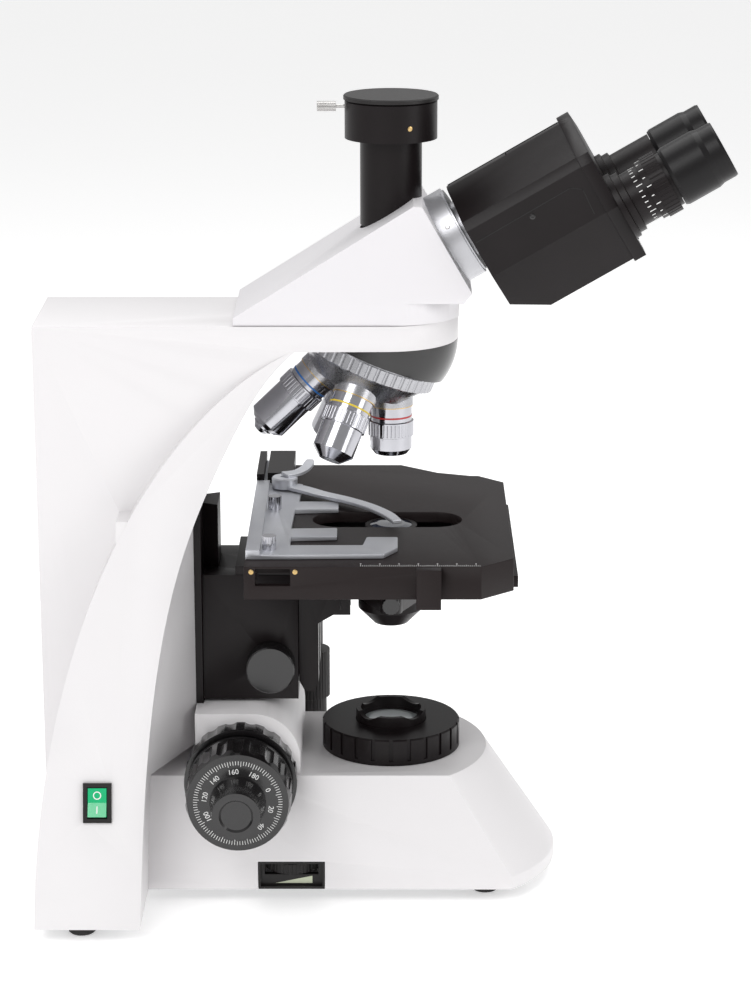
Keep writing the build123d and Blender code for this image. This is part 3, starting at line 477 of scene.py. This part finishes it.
def swept_strip(name, route, low, high):
    """A flat strip of changing width: route points are (x, y, width, lift) in millimetres, smoothed by a spline."""
    work = bmesh.new()
    smooth = []
    for i in range(len(route) - 1):
        before, start = Vector(route[max(i - 1, 0)]), Vector(route[i])
        end, after = Vector(route[i + 1]), Vector(route[min(i + 2, len(route) - 1)])
        for step in range(8):
            t = step / 8
            smooth.append(0.5 * (2 * start + (end - before) * t + (2 * before - 5 * start + 4 * end - after) * t ** 2
                                 + (3 * start - before - 3 * end + after) * t ** 3))
    smooth.append(Vector(route[-1]))
    rings = []
    for i, spot in enumerate(smooth):
        ahead = (smooth[min(i + 1, len(smooth) - 1)] - smooth[max(i - 1, 0)]).xy.normalized()
        side = Vector((-ahead.y, ahead.x)) * spot.z / 2
        rings.append([work.verts.new(at(spot.x + s * side.x, spot.y + s * side.y, spot.w + z))
                      for s, z in ((-1, low), (1, low), (1, high), (-1, high))])
    for first, second in zip(rings, rings[1:]):
        for i in range(4):
            j = (i + 1) % 4
            work.faces.new([first[i], first[j], second[j], second[i]])
    work.faces.new(rings[0][::-1])
    work.faces.new(rings[-1])
    bmesh.ops.recalc_face_normals(work, faces=work.faces)
    mesh = bpy.data.meshes.new(name)
    work.to_mesh(mesh)
    work.free()
    mesh.shade_smooth()
    piece = bpy.data.objects.new(name, mesh)
    rounding = piece.modifiers.new("rounded_edges", "BEVEL")
    rounding.width = 0.6 * MM
    rounding.segments = 3
    rounding.limit_method = "ANGLE"
    rounding.angle_limit = radians(40)
    rounding.harden_normals = True
    return piece


clip_base = stage_top + 3.2
arm = swept_strip("clip_arm", [(-60, 55, 8.6, 0), (-49, 45.5, 8.8, 0), (-38, 34.5, 8.2, 0), (-25, 24, 7.4, 0),
                               (-12, 10, 7, 0), (-2, -6, 6.6, 0), (3.4, -20, 5.4, 0)], clip_base, clip_base + 2.2)
show(arm, "slide_clip", satin_alloy)
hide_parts("spring_clip")
show(swept_strip("clip_thumb_finger", [(-60, 56, 9, 0), (-53, 60, 7.2, 0.2), (-48.5, 67, 6, 1.0), (-46.6, 75, 5.4, 2.0),
                                       (-46.4, 78.6, 3.6, 2.4)], clip_base + 6.0, clip_base + 7.8),
     "slide_clip", satin_alloy)
pivot_cap = [(0, 3.2), (6.9, 3.2), (7.3, 3.7), (7.3, 8.6), (6.7, 9.4), (2.4, 9.4), (2.2, 8.8), (0, 8.7)]
show(lathe("clip_pivot", pivot_cap, frame_at(at(-60, 55, stage_top), (0, 0, 1), (1, 0, 0)), 56),
     "slide_clip", satin_alloy)

# ---------------------------------------------------------------- Stage drive knobs
# Two stacked ribbed knobs hang below the stage on the user's right, one for each direction of travel.
# They are moulded in black plastic over steel shafts.
dress(black_mould, "stage_upper_knob", "stage_lower_knob")

# ---------------------------------------------------------------- Nosepiece, turret and objectives
# The turret is a satin aluminium cone with a fluted grip ring, turning under a black wedge on a shouldered bolt.
# The objectives are chromed brass with a knurled band, a painted magnification ring and a brass seating shim.
turret_silver = grained("turret_aluminium", (0.46, 0.46, 0.48), (0.38, 0.38, 0.40), 0.28, 0.14, 1200, 0.12, 60,
                        Metallic=1.0)
dress(gloss_black, "nosepiece_housing")
dress(turret_silver, "turret")
dress(turned_steel, "turret_pivot")
dress(bright_chrome, "objective_4x", "objective_10x", "objective_40x", "objective_100x", "nose_40x", "nose_100x")
turret_joint = joint("turret_turn")
turret_axis = Vector((-sin(radians(23)), 0, -cos(radians(23))))
apex = Vector(turret_joint["pos_m"]) - turret_axis * 0.040
turret_place = frame_at(apex, turret_axis, (cos(radians(23)), 0, -sin(radians(23))))


def objective_place(node):
    """Frame at the turret's apex with Z down this objective's axis, picked out by where its barrel is."""
    low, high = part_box(node)
    choices = [turret_place @ Matrix.Rotation(pi / 2 * i, 4, "Z") @ Matrix.Rotation(radians(23), 4, "Y")
               for i in range(4)]
    return min(choices, key=lambda place: (place @ Vector((0, 0, 0.07)) - (low + high) / 2).length)


ring_colours = {"4x": (0.55, 0.02, 0.02), "10x": (0.75, 0.55, 0.03), "40x": (0.03, 0.18, 0.55),
                "100x": (0.80, 0.80, 0.78)}
lens_sizes = {"4x": (27, 6.2, "turret"), "10x": (36, 3.6, "turret"), "40x": (44.8, 1.8, "tip_40x"),
              "100x": (44.8, 1.2, "tip_100x")}
for power, paint in ring_colours.items():
    place = objective_place(f"objective_{power}")
    dull = tuple(channel * 0.85 for channel in paint)
    enamel = grained(f"ring_enamel_{power}", paint, dull, 0.35, 0.1, 1500, 0.1, 200, Coat_Weight=0.3)
    band = lathe(f"power_ring_{power}", [(11.2, 60.4), (11.46, 60.5), (11.46, 61.4), (11.2, 61.5)], place, 64, True)
    show(band, "turret", enamel)
    shim = lathe(f"seat_shim_{power}", [(11.0, 54.9), (11.9, 54.95), (11.9, 55.45), (11.0, 55.5)], place, 64, True)
    show(shim, "turret", small_brass)
    length, radius, carrier = lens_sizes[power]
    tip = 55 + length
    dome = lathe(f"front_lens_{power}", [(0, tip - 0.3), (radius, tip - 0.3), (radius, tip + 0.02),
                                         (radius * 0.6, tip + 0.10), (0, tip + 0.14)], place, 40)
    show(dome, carrier, optic_glass)

# ---------------------------------------------------------------- Viewing head and flange
# The head is a white cast housing that turns on the arm, with a bright turned ring at its inclined face.
# A small set screw in the ring holds the binocular.
head_coat = grained("white_head_coat", (0.755, 0.738, 0.755), (0.72, 0.703, 0.725), 0.40, 0.15, 1500, 0.1, 10,
                    Coat_Weight=0.12, Coat_Roughness=0.35)
soften("head_housing", "head_casting", "head", head_coat, 2.0, 3)
flange_silver = grained("flange_silver", (0.60, 0.60, 0.62), (0.52, 0.52, 0.55), 0.34, 0.12, 1400, 0.1, 50,
                        Metallic=0.7)
dress(flange_silver, "flange_ring")
tube_joint = joint("left_eye_swing")
tube_origin = Vector(tube_joint["pos_m"])
tube_axis = Vector((cos(radians(30)), 0, sin(radians(30))))
tube_up = Vector((-sin(radians(30)), 0, cos(radians(30))))
tube_place = frame_at(tube_origin, tube_axis, tube_up)


def on_barrel(w, u, y):
    """Placing on a round surface about the inclined axis, with Z pointing straight out of it."""
    out = (tube_up * u + Vector((0, -1, 0)) * y).normalized()
    return frame_at(tube_origin + tube_axis * w * MM + tube_up * u * MM + Vector((0, -y * MM, 0)), out, tube_axis)


screw_head("flange_screw", on_barrel(-6, 9.4, 23.5), 1.2, 0.3, 0.6, "head", turned_steel)

# ---------------------------------------------------------------- Binocular prism boxes
# Two black die-cast boxes swing about a common barrel, so that the eyepieces can be set to the user's eyes.
# Each has a thin cover whose seam shows on the side, closed by a dark screw.
soften("left_prism_box", "left_prism_housing", "left_eye_half", black_metal, 0.9)
soften("right_prism_box", "right_prism_housing", "right_eye_half", black_metal, 0.9)
seam_dark = grained("seam_shadow", (0.004, 0.004, 0.004), (0.006, 0.006, 0.006), 0.7, 0.1, 1500, 0.1, 100)


def line_strip(points, width):
    """Printed or grooved line through several points, as one bar for each run."""
    strips = []
    for (x0, y0), (x1, y1) in zip(points, points[1:]):
        run = Vector((x1 - x0, y1 - y0))
        strips.append(bar((x0 + x1) / 2, (y0 + y1) / 2, atan2(run.y, run.x), run.length + width, width))
    return strips


seam_route = [(4.5, -1.3), (60.5, -0.7), (65.8, -4.5), (64.8, -18.5)]
for side_name, outward, body in (("left", -1, "left_eye_half"), ("right", 1, "right_eye_half")):
    origin = tube_origin + Vector((0, outward * 47 * MM, 0))
    face = frame_at(origin, (0, outward, 0), tube_axis)
    mirrored = [(x, y * -outward) for x, y in seam_route]
    show(plate_piece(f"cover_seam_{side_name}", line_strip(mirrored, 0.4), face, 0.05), body, seam_dark)
    spot = face @ Matrix.Translation((36.5 * MM, -3.9 * MM * -outward, 0))
    screw_head(f"cover_screw_{side_name}", spot, 1.5, 0.3, 0.7, body, gloss_black)
screw_head("barrel_screw", on_barrel(16.5, 14.2, 19.9), 1.5, 0.4, 0.7, "right_eye_half", small_brass)

# ---------------------------------------------------------------- Eye tubes, dioptre ring and eyepieces
# The eyepieces slide into short black tubes, and the left one stands on a ribbed dioptre ring with a white scale.
# The eyepiece shells are black plastic with coated eye lenses.
dress(black_metal, "left_tube", "right_tube", "diopter_ring")
eye_shell = grained("eyepiece_shell", (0.006, 0.0055, 0.006), (0.010, 0.009, 0.0095), 0.34, 0.12, 1700, 0.14, 60,
                    Specular_IOR_Level=0.22)
dress(eye_shell, "left_eyepiece", "right_eyepiece")


def ring_ticks(name, place, radius, ticks):
    """Short raised lines on a round collar: each tick is (angle, low, high, width) in radians and millimetres."""
    work = bmesh.new()
    for angle, low, high, width in ticks:
        half = width / 2 / radius
        corners = [(angle - half, low), (angle + half, low), (angle + half, high), (angle - half, high)]
        rings = [[work.verts.new((r * MM * cos(a), r * MM * sin(a), z * MM)) for a, z in corners]
                 for r in (radius - 0.05, radius + 0.07)]
        work.faces.new(rings[0][::-1])
        work.faces.new(rings[1])
        for i in range(4):
            j = (i + 1) % 4
            work.faces.new([rings[0][i], rings[0][j], rings[1][j], rings[1][i]])
    bmesh.ops.recalc_face_normals(work, faces=work.faces)
    mesh = bpy.data.meshes.new(name)
    work.to_mesh(mesh)
    work.free()
    mesh.transform(place)
    return bpy.data.objects.new(name, mesh)


left_eye = tube_place @ Matrix.Translation((-24.8 * MM, 33 * MM, 0))
right_eye = tube_place @ Matrix.Translation((-24.8 * MM, -33 * MM, 0))
fixed_ticks = [(radians(12 * i), 90.2, 93.6 if i % 5 == 0 else 92.2, 0.45) for i in range(30)]
moving_ticks = [(radians(18 * i), 95.0, 97.6 if i % 2 == 0 else 96.4, 0.45) for i in range(20)]
show(ring_ticks("dioptre_marks_fixed", left_eye, 14.9, fixed_ticks), "left_eye_half", mark_white)
show(ring_ticks("dioptre_marks_moving", left_eye, 16.4, moving_ticks), "diopter", mark_white)
for side_name, place, body in (("left", left_eye, "left_eye_half"), ("right", right_eye, "right_eye_half")):
    profile = [(0, 134.4), (9.0, 134.0), (9.0, 135.4), (5.5, 136.2), (0, 136.5)]
    show(lathe(f"eye_lens_{side_name}", profile, place, 56), body, optic_glass)

# ---------------------------------------------------------------- Camera tube, adapter and cap
# A black vertical tube carries a camera adapter, closed by a moulded dust cap.
# The adapter is clamped by a ribbed steel thumbscrew at the back and a small set screw at the side.
dress(black_metal, "phototube", "camera_adapter")
dress(black_mould, "dust_cap")
dress(turned_steel, "thumbscrew")
adapter_out = Vector((9.9, -22.4, 0)).normalized()
adapter_spot = at(adapter_out.x * 24.45, adapter_out.y * 24.45, 419.6)
screw_head("adapter_set_screw", frame_at(adapter_spot, adapter_out, (0, 0, 1)), 1.3, 0.3, 0.6,
           "head", small_brass)

# ---------------------------------------------------------------- Floor, light and camera
# A plain pale table top and three large soft lamps, with the camera a metre and a half away, looking slightly
# down across the instrument from the user's left.
floor_mesh = bpy.data.meshes.new("table_top")
floor_mesh.from_pydata([(-4, -4, 0), (4, -4, 0), (4, 8, 0), (-4, 8, 0)], [], [(0, 1, 2, 3)])
table = bpy.data.objects.new("table_top", floor_mesh)
bpy.context.scene.collection.objects.link(table)
floor_mesh.materials.append(grained("pale_table", (0.93, 0.93, 0.93), (0.91, 0.91, 0.91), 0.7, 0.05, 300, 0.02, 2,
                                    Emission_Color=(1, 1, 1, 1), Emission_Strength=0.42))


def soft_lamp(name, place, aim, size, power):
    lamp = bpy.data.lights.new(name, "AREA")
    lamp.shape = "RECTANGLE"
    lamp.size, lamp.size_y = size
    lamp.energy = power
    holder = bpy.data.objects.new(name, lamp)
    holder.location = place
    holder.rotation_euler = (Vector(aim) - Vector(place)).to_track_quat("-Z", "Y").to_euler()
    bpy.context.scene.collection.objects.link(holder)


soft_lamp("key_lamp", (-0.7, -1.3, 1.3), (0, 0, 0.2), (1.0, 1.0), 13)
soft_lamp("fill_lamp", (1.4, -0.8, 0.8), (0, 0, 0.2), (0.8, 1.2), 7)
soft_lamp("top_lamp", (0.1, 0.5, 1.5), (0, 0, 0.2), (1.6, 1.2), 12)

sky = bpy.data.worlds.new("studio")
sky.use_nodes = True
backdrop = sky.node_tree.nodes["Background"]
backdrop.inputs["Color"].default_value = (1, 1, 1, 1)
seen = new_node(sky.node_tree, "ShaderNodeLightPath")
strength = new_node(sky.node_tree, "ShaderNodeMapRange")
strength.inputs["To Min"].default_value = 0.50
strength.inputs["To Max"].default_value = 1.0
sky.node_tree.links.new(seen.outputs["Is Camera Ray"], strength.inputs["Value"])
sky.node_tree.links.new(strength.outputs["Result"], backdrop.inputs["Strength"])
bpy.context.scene.world = sky
bpy.context.scene.view_settings.view_transform = "Standard"

lens = bpy.data.cameras.new("camera")
lens.lens = 106.2
lens.sensor_width = 36
lens.shift_x = -0.0155
lens.clip_end = 50
camera = bpy.data.objects.new("camera", lens)
camera.location = (axis_x, axis_y - 1.5522, 0.6464)
camera.rotation_euler = (radians(90 - 15.6), 0, 0)
bpy.context.scene.collection.objects.link(camera)
bpy.context.scene.camera = camera
